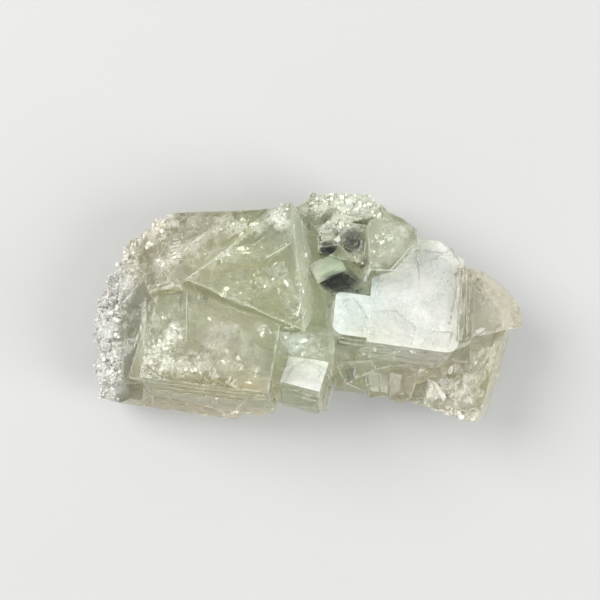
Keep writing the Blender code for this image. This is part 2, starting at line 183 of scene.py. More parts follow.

# Thin raised lines of growth, and two cracks, each in two dark lines: their ends as spots of the photograph,
# the width and the kind. Bright lines are white, and some of them are painted glints and highlights.
LINES = (
    ((173, 243.5), (179, 242), 0.14, FROST_AND_GLINT), ((170, 247), (185, 245), 0.12, FROST_AND_GLINT),
    ((171.5, 251), (181, 249), 0.2, FROST_AND_GLINT), ((169, 255), (184, 252.5), 0.12, FROST_AND_GLINT),
    ((173, 260.5), (182, 259), 0.14, FROST_AND_GLINT), ((192, 243), (205, 232.5), 0.14, FROST_AND_GLINT),
    ((197, 241.5), (208, 231.5), 0.16, FROST_AND_GLINT), ((266, 258), (291, 243), 0.12, FROST_AND_GLINT),
    ((394, 271.5), (416, 246.5), 0.2, FROST_AND_GLINT), ((391, 269.5), (413, 245), 0.12, FROST_AND_GLINT),
    ((231, 414), (247, 398), 0.14, FROST_AND_GLINT), ((247, 398), (264, 395), 0.12, FROST_AND_GLINT),
    ((187, 290), (186, 342), 0.1, FROST_AND_GLINT), ((466.5, 274), (466.5, 330), 0.14, FROST_AND_GLINT),
    ((345, 385), (375, 372), 0.14, FROST_AND_GLINT), ((389, 240), (394, 236.5), 0.3, FROST_AND_GLINT),
    ((388, 236), (393, 233.5), 0.24, FROST_AND_GLINT), ((164, 316), (173, 326), 0.16, DARK),
    ((173, 326), (181, 337), 0.2, DARK), ((355, 291), (362, 294.5), 0.14, DARK),
    ((362, 294.5), (370, 295), 0.1, DARK), ((297, 316), (301, 303), 0.2, FROST_AND_GLINT),
    ((303, 318), (306, 309), 0.16, FROST_AND_GLINT), ((341, 366), (344, 361), 0.2, FROST_AND_GLINT),
    ((372, 371), (376, 366), 0.2, FROST_AND_GLINT), ((159, 264), (172, 285), 0.1, FROST_AND_GLINT),
    ((321, 285), (331, 281), 0.1, PALE), ((338, 285), (351, 279), 0.1, PALE),
    ((330, 291), (342, 288), 0.12, PALE), ((320, 279), (343, 267), 0.1, FROST_AND_GLINT),
    ((344, 266), (362, 282), 0.1, FROST_AND_GLINT),
)

# How high the lines stand, how wide they are at their far end as a share of the near one, how deep lines and
# facets reach into the crystals, and how deep terraces and ledges do.
LINE_HEIGHT = 0.07
LINE_TAPER = 0.5
FACET_ROOT = 0.25
TERRACE_ROOT = 0.3

# Small facets where the crystals broke: the outline as spots of the photograph, how far the facet stands
# proud, and its kind. Bright facets are painted highlights and glints, and grey ones are painted shade.
FACETS = (
    (((390, 374), (402, 376), (398, 402), (389, 400)), 0.12, PALE),
    (((414, 374), (426, 377), (424, 392), (417, 401), (411, 395)), 0.08, PAINTED_SHADE),
    (((427, 378), (436, 381), (440, 399), (426, 402)), 0.14, PALE),
    (((433, 382), (437, 383), (447, 397), (444, 402), (439, 396)), 0.2, FROST_AND_GLINT),
    (((449, 378), (448, 370), (452, 362), (457, 359), (454, 366), (452, 374)), 0.16, FROST_AND_GLINT),
    (((456, 362), (460, 366), (458, 376), (453, 380), (454, 370)), 0.1, PALE),
    (((474, 331), (482, 327), (485, 329), (477, 334)), 0.14, FROST_AND_GLINT),
    (((474, 334), (484, 331), (483, 336), (476, 338)), 0.08, PAINTED_SHADE),
    (((367, 373), (378, 373), (379, 392), (371, 391)), 0.12, PALE),
    (((380, 374), (388, 375), (387, 393), (381, 392)), 0.08, CLEAR),
    (((345, 369), (355, 368), (356, 379), (349, 382)), 0.1, PAINTED_SHADE),
    (((466, 388), (474, 383), (480, 391), (472, 398)), 0.08, CLEAR),
    (((430, 406), (452, 407), (450, 413), (434, 411)), 0.12, PALE),
    (((456, 410), (474, 412), (472, 419), (459, 416)), 0.1, PALE),
    (((258, 328), (266, 325), (272, 333), (263, 336)), 0.04, CLEAR),
    (((200, 294), (208, 293), (207, 303), (201, 302)), 0.06, PAINTED_SHADE),
    (((142, 297), (146, 297), (145.5, 369), (141, 369)), 0.08, PALE),
    (((337, 199), (346, 195), (354, 201), (353, 209), (342, 213), (336, 207)), 0.2, FROST_AND_GLINT),
    (((334, 240), (339, 235), (341, 240), (338, 243)), 0.14, FROST_AND_GLINT),
    (((320, 234), (333, 233), (337, 239), (322, 242)), 0.1, PALE),
    (((344, 255), (362, 268), (361, 280), (346, 268)), 0.06, CLEAR),
    (((345, 226), (357, 224), (366, 229), (362, 231), (354, 228)), 0.12, PALE),
)

# Patches of frost, sugar and cloud on the surface: middle, reach across and along, and how strong.
FROST_PATCHES = (
    ((-17.2, -5.6), (2.8, 2.6), 0.62), ((-15.6, -3.4), (1.3, 1.6), 0.85), ((-13.6, -6.6), (2.6, 1.6), 0.5),
    ((-25.2, -5.0), (3.0, 9.0), 0.95), ((-23.4, 4.4), (3.0, 4.6), 0.85), ((-18.6, 10.2), (4.0, 2.2), 0.66),
    ((-8.0, 9.8), (4.6, 1.8), 0.6), ((-3.6, 10.4), (1.6, 1.8), 0.7), ((4.4, 12.2), (5.4, 2.6), 0.78),
    ((-15.4, 7.4), (6.6, 4.4), 0.42), ((-12.0, -13.0), (8.0, 0.8), 0.45), ((25.0, 0.0), (1.4, 2.4), 0.4),
    ((18.0, -13.2), (4.4, 0.9), 0.5), ((9.8, 8.2), (3.0, 3.0), 0.4), ((3.6, 9.8), (3.0, 1.4), 0.55),
    ((-0.4, 4.2), (1.5, 6.4), 0.36), ((9.0, -5.4), (7.5, 1.8), 0.4), ((23.4, -7.4), (1.5, 6.0), 0.45),
    ((20.4, 2.2), (5.0, 5.0), 0.34), ((5.6, 4.9), (1.3, 2.2), 0.44),
    ((0.0, -4.8), (3.4, 1.8), 0.36), ((-9.5, -3.6), (3.4, 2.4), 0.3), ((-7.6, -6.2), (2.6, 1.8), 0.34),
)

# Painted shade: dark spots painted where shade falls in the notches by the step, the round hollow and a deep
# crack. The middle, the reach across and along, the height below which it is dark, and how dark.
PAINTED_SHADE_SPOTS = (
    ((3.7, 2.9), (2.8, 1.5), 14.8, 1.0), ((2.5, 6.7), (1.5, 0.8), 13.6, 0.9),
    ((5.2, 7.8), (1.5, 1.6), 20.0, 1.0), ((6.4, 5.2), (0.5, 0.8), 20.0, 0.7),
)

# Tints of the crystals: a place, how far it reaches, and the colour. The last two are a painted iridescent
# glint.
TINTS_AND_GLINT = (
    ((-7.0, 4.6), 5.5, (0.98, 0.96, 0.77)), ((-3.0, 9.0), 3.0, (0.95, 0.97, 0.84)),
    ((-0.8, 4.0), 3.0, (0.99, 1.0, 0.86)), ((-12.4, -3.6), 6.0, (0.98, 0.95, 0.82)),
    ((-12.0, -11.5), 4.5, (1.0, 0.90, 0.74)), ((-10.6, -4.6), 2.2, (0.98, 0.88, 0.78)),
    ((-15.4, 8.0), 5.0, (1.0, 0.94, 0.82)),
    ((-24.6, -2.0), 4.5, (1.0, 0.96, 0.92)), ((-0.8, -5.0), 3.0, (0.93, 0.98, 0.82)),
    ((-1.0, -9.6), 3.0, (0.99, 0.96, 0.90)), ((6.0, 1.0), 3.4, (0.92, 0.98, 0.95)),
    ((12.6, 0.5), 5.0, (0.98, 0.97, 0.94)), ((8.0, -4.6), 3.0, (0.97, 0.96, 0.82)),
    ((6.0, -8.6), 3.0, (0.98, 0.95, 0.84)), ((8.0, 9.0), 5.0, (0.98, 0.99, 0.84)),
    ((2.8, 4.4), 1.7, (0.80, 0.97, 0.64)), ((5.7, 4.8), 1.2, (0.93, 0.88, 0.68)),
    ((16.0, -8.0), 5.0, (1.0, 0.94, 0.85)),
    ((23.2, -8.4), 2.8, (0.86, 0.80, 0.60)), ((22.0, 1.0), 4.5, (0.98, 0.91, 0.79)),
    # The last two are a painted iridescent glint, green and pink.
    ((4.6, -8.4), 0.4, (0.45, 0.95, 0.80)), ((4.8, -8.9), 0.3, (0.95, 0.60, 0.85)),
)

# Sugar of tiny crystals on the strongest patches of frost: how many at most, the smallest and largest, and
# the lowest height. How deep each sinks in, and how much room it keeps to the sides of the solid's box, are
# shares of its size.
SUGAR_COUNT = 1500
SUGAR_SIZES = (0.18, 0.5)
SUGAR_SEED = 11
SUGAR_LOWEST = 2
SUGAR_SINK = 0.1
SUGAR_ROOM = 0.9

# Healed cracks inside the crystals: the spot of the photograph, how deep below the surface, the size across
# and up, the tilt, lean and turn, and how dense they are.
VEILS = (
    ((164, 352), 1.0, (4.2, 3.8), (30, -25, 20), 0.9), ((172, 336), 0.7, (2.8, 2.6), (10, 25, 0), 1.0),
    ((160, 364), 1.1, (4.6, 2.6), (-15, 10, 10), 0.9), ((172, 326), 1.6, (3.4, 3.6), (20, 78, -42), 0.8),
    ((202, 360), 2.0, (4.4, 3.4), (35, 20, -15), 0.7), ((216, 344), 2.8, (5.4, 4.4), (-20, 25, 30), 0.6),
    ((238, 362), 2.2, (4.4, 4.2), (15, -35, 10), 0.5), ((190, 305), 1.8, (4.2, 4.6), (0, 80, 2), 0.6),
    ((225, 318), 3.6, (6.0, 3.6), (50, 10, -25), 0.4), ((150, 325), 1.4, (2.6, 6.0), (15, -45, -6), 0.5),
    ((178, 245), 1.2, (3.4, 3.0), (-25, 15, -30), 0.6), ((200, 236), 1.4, (4.0, 2.6), (20, 30, 35), 0.6),
    ((236, 230), 0.9, (5.4, 2.6), (15, 5, 10), 0.8), ((215, 228), 2.0, (6.5, 4.0), (-30, -15, 0), 0.6),
    ((165, 262), 1.5, (3.6, 5.5), (25, -35, -25), 0.5),
    ((215, 258), 1.6, (4.4, 2.6), (-35, 10, 20), 0.7), ((286, 213), 0.7, (3.6, 2.6), (25, 20, 40), 1.0),
    ((280, 250), 1.3, (3.6, 3.0), (70, 5, 30), 0.5), ((240, 264), 2.6, (7.5, 2.6), (-55, 5, 12), 0.6),
    ((262, 290), 3.0, (6.0, 4.0), (30, -40, -35), 0.45), ((232, 285), 1.8, (4.0, 4.6), (-20, 35, 15), 0.45),
    ((250, 248), 0.6, (5.6, 1.2), (70, 10, 36), 0.9), ((222, 257), 0.5, (3.2, 1.8), (15, 5, 10), 0.9),
    ((262, 268), 0.8, (6.4, 1.0), (75, 5, 6), 0.8), ((298, 312), 0.6, (1.8, 3.0), (15, 30, 20), 1.0),
    ((240, 300), 1.0, (5.0, 1.4), (60, 5, -28), 0.8), ((292, 238), 0.6, (1.0, 5.0), (10, 70, -10), 0.8),
    ((300, 285), 0.9, (2.6, 7.0), (10, 50, -8), 0.7), ((307, 248), 0.7, (2.2, 8.6), (5, 55, -6), 0.8),
    ((310, 275), 0.7, (2.0, 5.0), (5, 50, -10), 0.8), ((380, 352), 0.8, (9.6, 1.8), (65, 0, -7), 0.6),
    ((425, 357), 0.8, (5.6, 1.6), (65, 0, -7), 0.6), ((398, 232), 1.2, (4.0, 3.0), (20, 5, -50), 0.5),
    ((378, 246), 0.7, (2.2, 3.8), (10, -10, 0), 0.8), ((268, 276), 1.6, (6.0, 4.4), (15, -10, 30), 0.4),
    ((300, 348), 1.0, (5.6, 3.6), (10, 15, 5), 0.75), ((264, 331), 0.8, (2.6, 2.0), (30, -20, 30), 0.9),
    ((285, 322), 1.6, (4.4, 2.6), (-30, 20, -10), 0.6), ((300, 398), 1.4, (4.6, 2.2), (30, -10, 0), 0.5),
    ((346, 208), 0.7, (5.4, 3.0), (15, -10, -20), 0.9), ((334, 224), 0.9, (4.0, 3.0), (-20, 15, 10), 0.8),
    ((390, 240), 1.2, (4.6, 3.6), (25, 20, -40), 0.6), ((372, 268), 1.1, (4.4, 2.4), (-20, 30, 10), 0.6),
    ((352, 377), 0.9, (3.2, 2.4), (20, -35, 15), 0.5), ((405, 390), 1.1, (2.2, 3.6), (-10, 60, -20), 0.6),
    ((462, 390), 2.0, (5.4, 4.6), (-45, -20, 0), 0.3), ((490, 300), 0.6, (5.0, 4.4), (10, 25, 10), 0.5),
)

# Flat cleavage planes inside the crystals: corners as spots of the photograph with how deep below the surface
# each lies, and how dense the plane is.
CLEAVAGES = (
    (
        (
            (209, 252, 0.5), (252, 243, 0.5), (297, 222, 0.5),
            (300, 238, 1.6), (262, 262, 1.8), (224, 264, 1.4),
        ),
        0.3,
    ),
    (((262, 268, 0.8), (285, 261, 0.5), (304, 318, 0.6), (292, 322, 2.2)), 0.34),
    (((206, 285, 0.5), (241, 268, 2.2), (263, 290, 2.4), (248, 310, 0.6)), 0.24),
    (((271, 226, 0.4), (294, 209, 0.4), (296, 240, 1.2)), 0.3),
    (((147, 298, 0.4), (186, 292, 0.4), (184, 330, 1.8), (150, 352, 1.8)), 0.2),
    (((190, 372, 0.6), (206, 334, 2.2), (246, 330, 0.6), (262, 352, 1.0), (258, 386, 0.5)), 0.22),
    (((188, 294, 0.5), (240, 326, 0.5), (222, 352, 2.6), (189, 338, 2.0)), 0.16),
    (((160, 262, 0.6), (172, 240, 0.5), (200, 232, 1.8), (178, 280, 1.4)), 0.24),
    (((274, 331, 0.5), (322, 334, 0.5), (320, 352, 1.6), (276, 356, 1.6)), 0.24),
    (((460, 345, 0.5), (500, 332, 0.5), (484, 400, 1.8), (462, 372, 2.0)), 0.2),
    (((382, 218, 0.4), (412, 228, 0.4), (402, 262, 0.8), (378, 256, 0.8)), 0.4),
    (((164, 392, 0.4), (240, 399, 0.4), (228, 408, 1.2), (176, 402, 1.2)), 0.24),
    (((485, 282, 0.4), (512, 300, 0.4), (503, 322, 1.0), (482, 318, 0.9)), 0.2),
)

# A healed crack is a square grid of this many cells. It and the cleavage planes are this thick, and it stays
# at least this deep inside the crystals.
VEIL_CELLS = 22
VEIL_THICKNESS = 0.02
VEIL_COVER = 0.14

# The floor's half size in metres, its colour, and how far below the cluster it lies, in millimetres.
FLOOR_SIZE = 2.5
FLOOR_COLOR = (0.5, 0.5, 0.49, 1)
FLOOR_DROP = 0.1

# The lights: the place, the size across, the power and the colour.
WINDOW = ((-0.45, 0.25, 0.5), 0.5, 4.4, (1.0, 0.99, 0.97))
FILL = ((0.5, -0.15, 0.4), 0.4, 2.4, (1, 1, 1))

# The sky has its full colour from this height up, where 1 is straight above, and darkens towards the horizon.
SKY_COLOR = (0.95, 0.98, 1.0, 1)
SKY_FULL_HEIGHT = 0.75
HORIZON_COLOR = (0.07, 0.075, 0.08, 1)
SKY_STRENGTH = 0.96


def place(x, y, z=0.0):
    return (Vector((x, y, z)) - BOX_MIDDLE) * MM


def facing(tilt, lean, turn):
    """The turn that takes a face pointing straight up to one tilted back, leaning right and turned."""
    return (
        Matrix.Rotation(math.radians(turn), 4, "Z")
        @ Matrix.Rotation(math.radians(lean), 4, "Y")
        @ Matrix.Rotation(math.radians(-tilt), 4, "X")
    )


def on_front(name):
    """The matrix from places on a front face, in millimetres, to the frame."""
    front = FRONTS[name]
    turned = facing(front["tilt"], front["lean"], front["turn"])
    return Matrix.Translation(place(*front["corner"])) @ turned @ Matrix.Scale(MM, 4)


def sight(spot):
    """The camera's place, and the way from it to a spot of the photograph."""
    pixel = CAMERA_WIDTH / PHOTO_WIDTH
    half = PHOTO_WIDTH / 2
    way = Vector(((spot[0] - half) * pixel, (half - spot[1]) * pixel, -CAMERA_DISTANCE))
    return place(*CAMERA_PLACE, CAMERA_PLANE + CAMERA_DISTANCE), way.normalized()


def seen(tree, spot):
    """The place on the surface under a spot of the photograph, and the way that the surface faces there."""
    return tree.ray_cast(*sight(spot))[:2]


def below(tree, spot, depth):
    """The place this deep inside the crystals, behind a spot of the photograph."""
    return seen(tree, spot)[0] + sight(spot)[1] * (depth * MM)


def tool(mesh, kind):
    """The shape as an object whose faces are all of one kind."""
    bmesh.ops.recalc_face_normals(mesh, faces=mesh.faces)
    for face in mesh.faces:
        face.material_index = kind
    data = bpy.data.meshes.new("tool")
    mesh.to_mesh(data)
    mesh.free()
    for slot in KIND_SLOTS:
        data.materials.append(slot)
    return bpy.data.objects.new("tool", data)


def prism(outline, low, high, matrix, kind):
    """An upright prism over an outline, from one height to another, put where the matrix says."""
    mesh = bmesh.new()
    base = mesh.faces.new([mesh.verts.new((u, v, low)) for u, v in outline])
    raised = bmesh.ops.extrude_face_region(mesh, geom=[base])["geom"]
    points = [part for part in raised if isinstance(part, bmesh.types.BMVert)]
    bmesh.ops.translate(mesh, verts=points, vec=(0, 0, high - low))
    bmesh.ops.transform(mesh, verts=mesh.verts, matrix=matrix)
    return tool(mesh, kind)


def terrace(front, outline, height):
    """A step of growth on a front face, white where that face is."""
    kind = WHITE if FACE_FROST[front] > 0.5 else CLEAR
    return prism(outline, -TERRACE_ROOT, height, on_front(front), kind)


def ledge(front, along, down, proud):
    """A ledge on the lower side of a cube, as a box from one end to the other."""
    (left, right), (upper, lower) = along, down
    outline = ((left, -proud), (right, -proud), (right, TERRACE_ROOT), (left, TERRACE_ROOT))
    return prism(outline, -lower, -upper, on_front(front), CLEAR)


def chip(front, spot, wide, deep):
    """A flat part of a ball that breaks a shell out of a front face."""
    radius = (wide * wide + deep * deep) / (2 * deep)
    round_segments, up_segments = CHIP_SEGMENTS
    mesh = bmesh.new()
    bmesh.ops.create_uvsphere(mesh, u_segments=round_segments, v_segments=up_segments, radius=radius)
    bmesh.ops.translate(mesh, verts=mesh.verts, vec=(spot[0], spot[1], radius - deep))
    geometry = mesh.verts[:] + mesh.edges[:] + mesh.faces[:]
    cut = bmesh.ops.bisect_plane(
        mesh, geom=geometry, plane_co=(0, 0, CHIP_RISE), plane_no=(0, 0, 1), clear_outer=True
    )
    rim = [part for part in cut["geom_cut"] if isinstance(part, bmesh.types.BMEdge)]
    bmesh.ops.contextual_create(mesh, geom=rim)
    bmesh.ops.transform(mesh, verts=mesh.verts, matrix=on_front(front))
    return tool(mesh, CLEAR)


def facet(tree, outline, proud, kind):
    """A flat facet, its outline given as spots of the photograph, on the plane of the surface amid them."""
    spots = [Vector(spot) for spot in outline]
    middle, up = seen(tree, sum(spots, Vector((0, 0))) / len(spots))
    turned = up.to_track_quat("Z", "Y").to_matrix().to_4x4()
    matrix = Matrix.Translation(middle) @ turned @ Matrix.Scale(MM, 4)
    corners = []
    for spot in spots:
        eye, way = sight(spot)
        corners.append((matrix.inverted() @ (eye + way * ((middle - eye).dot(up) / way.dot(up)))).xy)
    return prism(corners, -FACET_ROOT, proud, matrix, kind)


def line(tree, start, end, width, kind):
    """A thin raised line on the surface between two spots of the photograph."""
    first, up = seen(tree, start)
    last = seen(tree, end)[0]
    way = (last - first) / MM
    across = way.cross(up).normalized()
    upright = across.cross(way).normalized()
    turned = Matrix((across, way.normalized(), upright)).transposed().to_4x4()
    matrix = Matrix.Translation((first + last) / 2) @ turned @ Matrix.Scale(MM, 4)
    half, reach = width / 2, way.length / 2
    outline = ((-half, -reach), (half, -reach), (half * LINE_TAPER, reach), (-half * LINE_TAPER, reach))
    return prism(outline, -FACET_ROOT, LINE_HEIGHT, matrix, kind)


def boolean(piece, tools, operation):
    """Join the tools to the piece or cut them out of it, all at once, and take them away."""
    group = bpy.data.collections.new(operation.lower())
    bpy.context.scene.collection.children.link(group)
    for each in tools:
        group.objects.link(each)
    step = piece.modifiers.new(operation.lower(), "BOOLEAN")
    step.operation = operation
    step.solver = "EXACT"
    step.operand_type = "COLLECTION"
    step.collection = group
    shape = piece.evaluated_get(bpy.context.evaluated_depsgraph_get())
    changed = bpy.data.meshes.new_from_object(shape)
    piece.modifiers.clear()
    piece.data = changed
    for each in tools:
        bpy.data.objects.remove(each)
    bpy.data.collections.remove(group)


def tree_of(data):
    mesh = bmesh.new()
    mesh.from_mesh(data)
    tree = BVHTree.FromBMesh(mesh)
    mesh.free()
    return tree


def carved_copy(node):
    """A copy of the solid with the terraces, ledges, facets and lines added and the shells broken out."""
    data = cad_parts[node].data.copy()
    data.materials.clear()
    for slot in KIND_SLOTS:
        data.materials.append(slot)
    mesh = bmesh.new()
    mesh.from_mesh(data)
    bmesh.ops.remove_doubles(mesh, verts=mesh.verts, dist=WELD_DISTANCE * MM)
    for face in mesh.faces:
        face.material_index = CLEAR
    mesh.to_mesh(data)
    mesh.free()
    piece = bpy.data.objects.new("fluorite_crystals", data)
    bpy.context.scene.collection.objects.link(piece)
    tree = tree_of(data)
    added = [terrace(*each) for each in TERRACES]
    added += [ledge(*each) for each in LEDGES]
    added += [facet(tree, *each) for each in FACETS]
    added += [line(tree, *each) for each in LINES]
    boolean(piece, added, "UNION")
    boolean(piece, [chip(*each) for each in CHIPS], "DIFFERENCE")
    return piece


def grid_cut(mesh, step):
    """Cut the surface along three sets of planes, step apart, so that its flat faces hold points too."""
    corners = [v.co for v in mesh.verts]
    lows = [min(co[axis] for co in corners) for axis in range(3)]
    highs = [max(co[axis] for co in corners) for axis in range(3)]
    for axis in range(3):
        way = Vector([axis == number for number in range(3)])
        for number in range(1, int((highs[axis] - lows[axis]) / step) + 1):
            geometry = mesh.verts[:] + mesh.edges[:] + mesh.faces[:]
            spot = way * (lows[axis] + number * step)
            bmesh.ops.bisect_plane(mesh, geom=geometry, plane_co=spot, plane_no=way)


def front_of(face):
    """The name of the crystal on whose front face, or terrace, this face lies, or None."""
    middle = face.calc_center_median()
    lowest, highest = FRONT_REACH
    for name in FRONTS:
        matrix = on_front(name)
        way = matrix.to_3x3().normalized() @ Vector((0, 0, 1))
        height = (middle - matrix.translation).dot(way) / MM
        if face.normal.dot(way) > FRONT_PARALLEL and lowest < height < highest:
            return name
    return None


def patch_frost(co):
    """How strongly the frost patches cover a place."""
    at = co / MM + BOX_MIDDLE
    strongest = 0.0
    for (x, y), (across, along), strength in FROST_PATCHES:
        far = math.hypot((at.x - x) / across, (at.y - y) / along)
        strongest = max(strongest, strength * max(0.0, 1 - far * far * 0.6))
    return strongest


def tint_and_glint_at(co):
    """The crystals' tint at a place, mixed from the tints near it, with the painted iridescent glint among
    them.
    """
    at = co / MM + BOX_MIDDLE
    total = Vector((0, 0, 0))
    weights = 1e-6
    for (x, y), reach, color in TINTS_AND_GLINT:
        weight = math.exp(-((at.x - x) ** 2 + (at.y - y) ** 2) / (reach * reach * 0.5))
        total += Vector(color) * weight
        weights += weight
    return total / weights


def tinted(mesh):
    """Give each point the tint of its place, the painted iridescent glint included."""
    tint = mesh.verts.layers.float_color.new("tint")
    for vertex in mesh.verts:
        vertex[tint] = (*tint_and_glint_at(vertex.co), 1.0)


def face_layers(mesh):
    """Say of each flat face how big it is, how frosted and how dark, the dark being painted shade and cracks.
    """
    big = mesh.faces.layers.float.new("big")
    frost = mesh.faces.layers.float.new("facet_frost")
    dark = mesh.faces.layers.float.new("facet_painted_shade_and_crack")
    for face in mesh.faces:
        middle = face.calc_center_median()
        face[big] = min(1.0, face.calc_area() / (SMOOTH_AREA * MM * MM))
        name = front_of(face)
        lot = noise.cell(middle / MM * 0.8)
        if name:
            face[frost] = FACE_FROST[name]
            face[big] = 1.0
        elif face.normal.z < -0.1 or middle.z < REST_HEIGHT * MM:
            face[frost] = 0.5 + 0.45 * lot
        elif face.normal.z < 0.35:
            face[frost] = 0.1 + 0.45 * lot
        else:
            face[frost] = 0.06 * lot
        # Added shapes take their kind's frost and darkness: bright ones a painted highlight, grey ones
        # painted shade.
        if face.material_index in KIND_LOOKS:
            face[frost], face[dark] = KIND_LOOKS[face.material_index]
            face[big] = 1.0
        face.material_index = 0
    tree = BVHTree.FromBMesh(mesh)
    mesh.faces.ensure_lookup_table()
    for spot, amount in FROSTED_SIDES:
        side = mesh.faces[tree.ray_cast(*sight(spot))[2]]
        side[frost] = amount
        side[big] = 1.0


def painted_shade_at(co):
    """How dark the painted shade makes the surface at a place in a notch, the hollow or a crack."""
    at = co / MM + BOX_MIDDLE
    darkest = 0.0
    for (x, y), (across, along), top, strength in PAINTED_SHADE_SPOTS:
        far = math.hypot((at.x - x) / across, (at.y - y) / along)
        if at.z < top:
            darkest = max(darkest, strength * min(1.0, 2.5 * max(0.0, 1 - far)))
    return darkest


def roughened(mesh):
    """Move the points: broken surfaces a lot, crystal faces hardly, and edges inward a little, as wear.

    Nothing moves out of the solid's box, and the flat that the cluster rests on stays as it is. The points
    also take their frost, painted shade, and edge marks for wear and a painted highlight, for the material.
    """
    big = mesh.faces.layers.float["big"]
    frost = mesh.faces.layers.float["facet_frost"]
    edge = mesh.verts.layers.float.new("edge")
    patch = mesh.verts.layers.float.new("patch_frost")
    # The dark layer is painted shade in the notches, the hollow and a crack.
    dark = mesh.verts.layers.float.new("dark")
    mesh.normal_update()
    moves = []
    least_wear, more_wear = EDGE_WEAR
    for vertex in mesh.verts:
        flatness = min((f[big] for f in vertex.link_faces), default=0.0)
        vertex[patch] = patch_frost(vertex.co)
        vertex[dark] = painted_shade_at(vertex.co)
        at = vertex.co / MM
        rough = (1 - flatness) * 0.5 + vertex[patch] * 0.5 + max(0.0, vertex[patch] - 0.6) * 1.2
        frosted = max((f[frost] for f in vertex.link_faces), default=0.0) * flatness
        rough = max(rough, 0.2 * frosted)
        fine = noise.noise(at * 1.7) * 0.16 + noise.noise(at * 3.9) * 0.1
        move = rough * fine + 0.014 * noise.noise(at * 1.1) + 0.006 * noise.noise(at * 2.6)
        turns = [e.calc_face_angle_signed(0) for e in vertex.link_edges if len(e.link_faces) == 2]
        sharpest = max(turns, default=0.0)
        # Sharp edges are marked here; the material whitens them as wear and as a painted highlight.
        if sharpest > EDGE_ANGLE:
            vertex[edge] = 1.0
            move -= least_wear + more_wear * abs(noise.noise(at * 1.3 + Vector((9, 3, 5))))
        if vertex.co.z < REST_HEIGHT * MM:
            move = 0.0
        moves.append((vertex, vertex.normal * (move * MM)))
    lowest, highest = cad_box
    for vertex, move in moves:
        moved = vertex.co + move
        vertex.co = [max(low, min(high, value)) for low, value, high in zip(lowest, moved, highest)]


def crystal_surface():
    """The crystals' visible surface: carved, cut into small faces, roughened, with its looks as values."""
    piece = carved_copy("fluorite_cluster")
    mesh = bmesh.new()
    mesh.from_mesh(piece.data)
    bmesh.ops.remove_doubles(mesh, verts=mesh.verts, dist=WELD_DISTANCE * MM)
    flat = math.radians(FLAT_ANGLE)
    bmesh.ops.dissolve_limit(
        mesh, angle_limit=flat, verts=mesh.verts, edges=mesh.edges, delimit={"MATERIAL"}
    )
    mesh.normal_update()
    face_layers(mesh)
    grid_cut(mesh, GRID_STEP * MM)
    bmesh.ops.triangulate(mesh, faces=mesh.faces)
    roughened(mesh)
    tinted(mesh)
    mesh.to_mesh(piece.data)
    mesh.free()
    piece.data.materials.clear()
    piece.data.shade_smooth()
    piece.data.set_sharp_from_angle(angle=math.radians(SHARP_ANGLE))
    return piece


def inside(tree, co, cover):
    """True if a place lies in the crystals, and at least that deep."""
    near, normal, _, distance = tree.find_nearest(co)
    return (co - near).dot(normal) < 0 and distance > cover * MM


def add_sheet(whole, mesh):
    """Make the surface a thin sheet and add it to the whole."""
    bmesh.ops.solidify(mesh, geom=mesh.faces[:], thickness=VEIL_THICKNESS * MM)
    data = bpy.data.meshes.new("sheet")
    mesh.to_mesh(data)
    whole.from_mesh(data)
    bpy.data.meshes.remove(data)


def add_veil(tree, whole, number, spot, depth, size, turns, density):
    """Add one healed crack to the mesh: a wavy, ragged, very thin sheet that stays inside the crystals."""
    middle = below(tree, spot, depth)
    turned = facing(*turns).to_3x3()
    mesh = bmesh.new()
    bmesh.ops.create_grid(mesh, x_segments=VEIL_CELLS, y_segments=VEIL_CELLS, size=1)
    fade = mesh.verts.layers.float.new("fade")
    for vertex in mesh.verts:
        x, y = vertex.co.xy
        ragged = 0.85 + 0.35 * noise.noise(Vector((x * 1.6, y * 1.6, number * 3.1)))
        vertex[fade] = density * min(1.0, 1.6 * max(0.0, 1 - math.hypot(x, y) / ragged))
        wave = noise.noise(Vector((x * 1.5, y * 1.5, number * 7.7))) * 0.16 * min(size)
        fine = noise.noise(Vector((x * 6, y * 6, number * 1.7))) * 0.05
        vertex.co = middle + turned @ Vector((x * size[0] / 2, y * size[1] / 2, wave + fine)) * MM
    lost = [v for v in mesh.verts if v[fade] <= 0 or not inside(tree, v.co, VEIL_COVER)]
    bmesh.ops.delete(mesh, geom=lost, context="VERTS")
    loose = [v for v in mesh.verts if not v.link_faces]
    bmesh.ops.delete(mesh, geom=loose, context="VERTS")
    if mesh.faces:
        add_sheet(whole, mesh)
    mesh.free()


def add_cleavage(tree, whole, corners, density):
    """Add one flat plane to the mesh, as a sheet whose corners lie at their own depths."""
    mesh = bmesh.new()
    plain = mesh.verts.layers.float.new("plain")
    for x, y, depth in corners:
        mesh.verts.new(below(tree, (x, y), depth))[plain] = density
    sheet = mesh.faces.new(mesh.verts)
    bmesh.ops.triangulate(mesh, faces=[sheet])
    bmesh.ops.recalc_face_normals(mesh, faces=mesh.faces)
    add_sheet(whole, mesh)
    mesh.free()


def inner_veils(tree):
    """The healed cracks and cleavage planes inside the crystals, all in one piece."""
    whole = bmesh.new()
    whole.verts.layers.float.new("plain")
    for number, veil in enumerate(VEILS):
        add_veil(tree, whole, number, *veil)
    for cleavage in CLEAVAGES:
        add_cleavage(tree, whole, *cleavage)
    bmesh.ops.triangulate(whole, faces=whole.faces)
    bmesh.ops.recalc_face_normals(whole, faces=whole.faces)
    data = bpy.data.meshes.new("inner_veils")
    whole.to_mesh(data)
    whole.free()
    data.shade_smooth()
    piece = bpy.data.objects.new("inner_veils", data)
    bpy.context.scene.collection.objects.link(piece)
    return piece


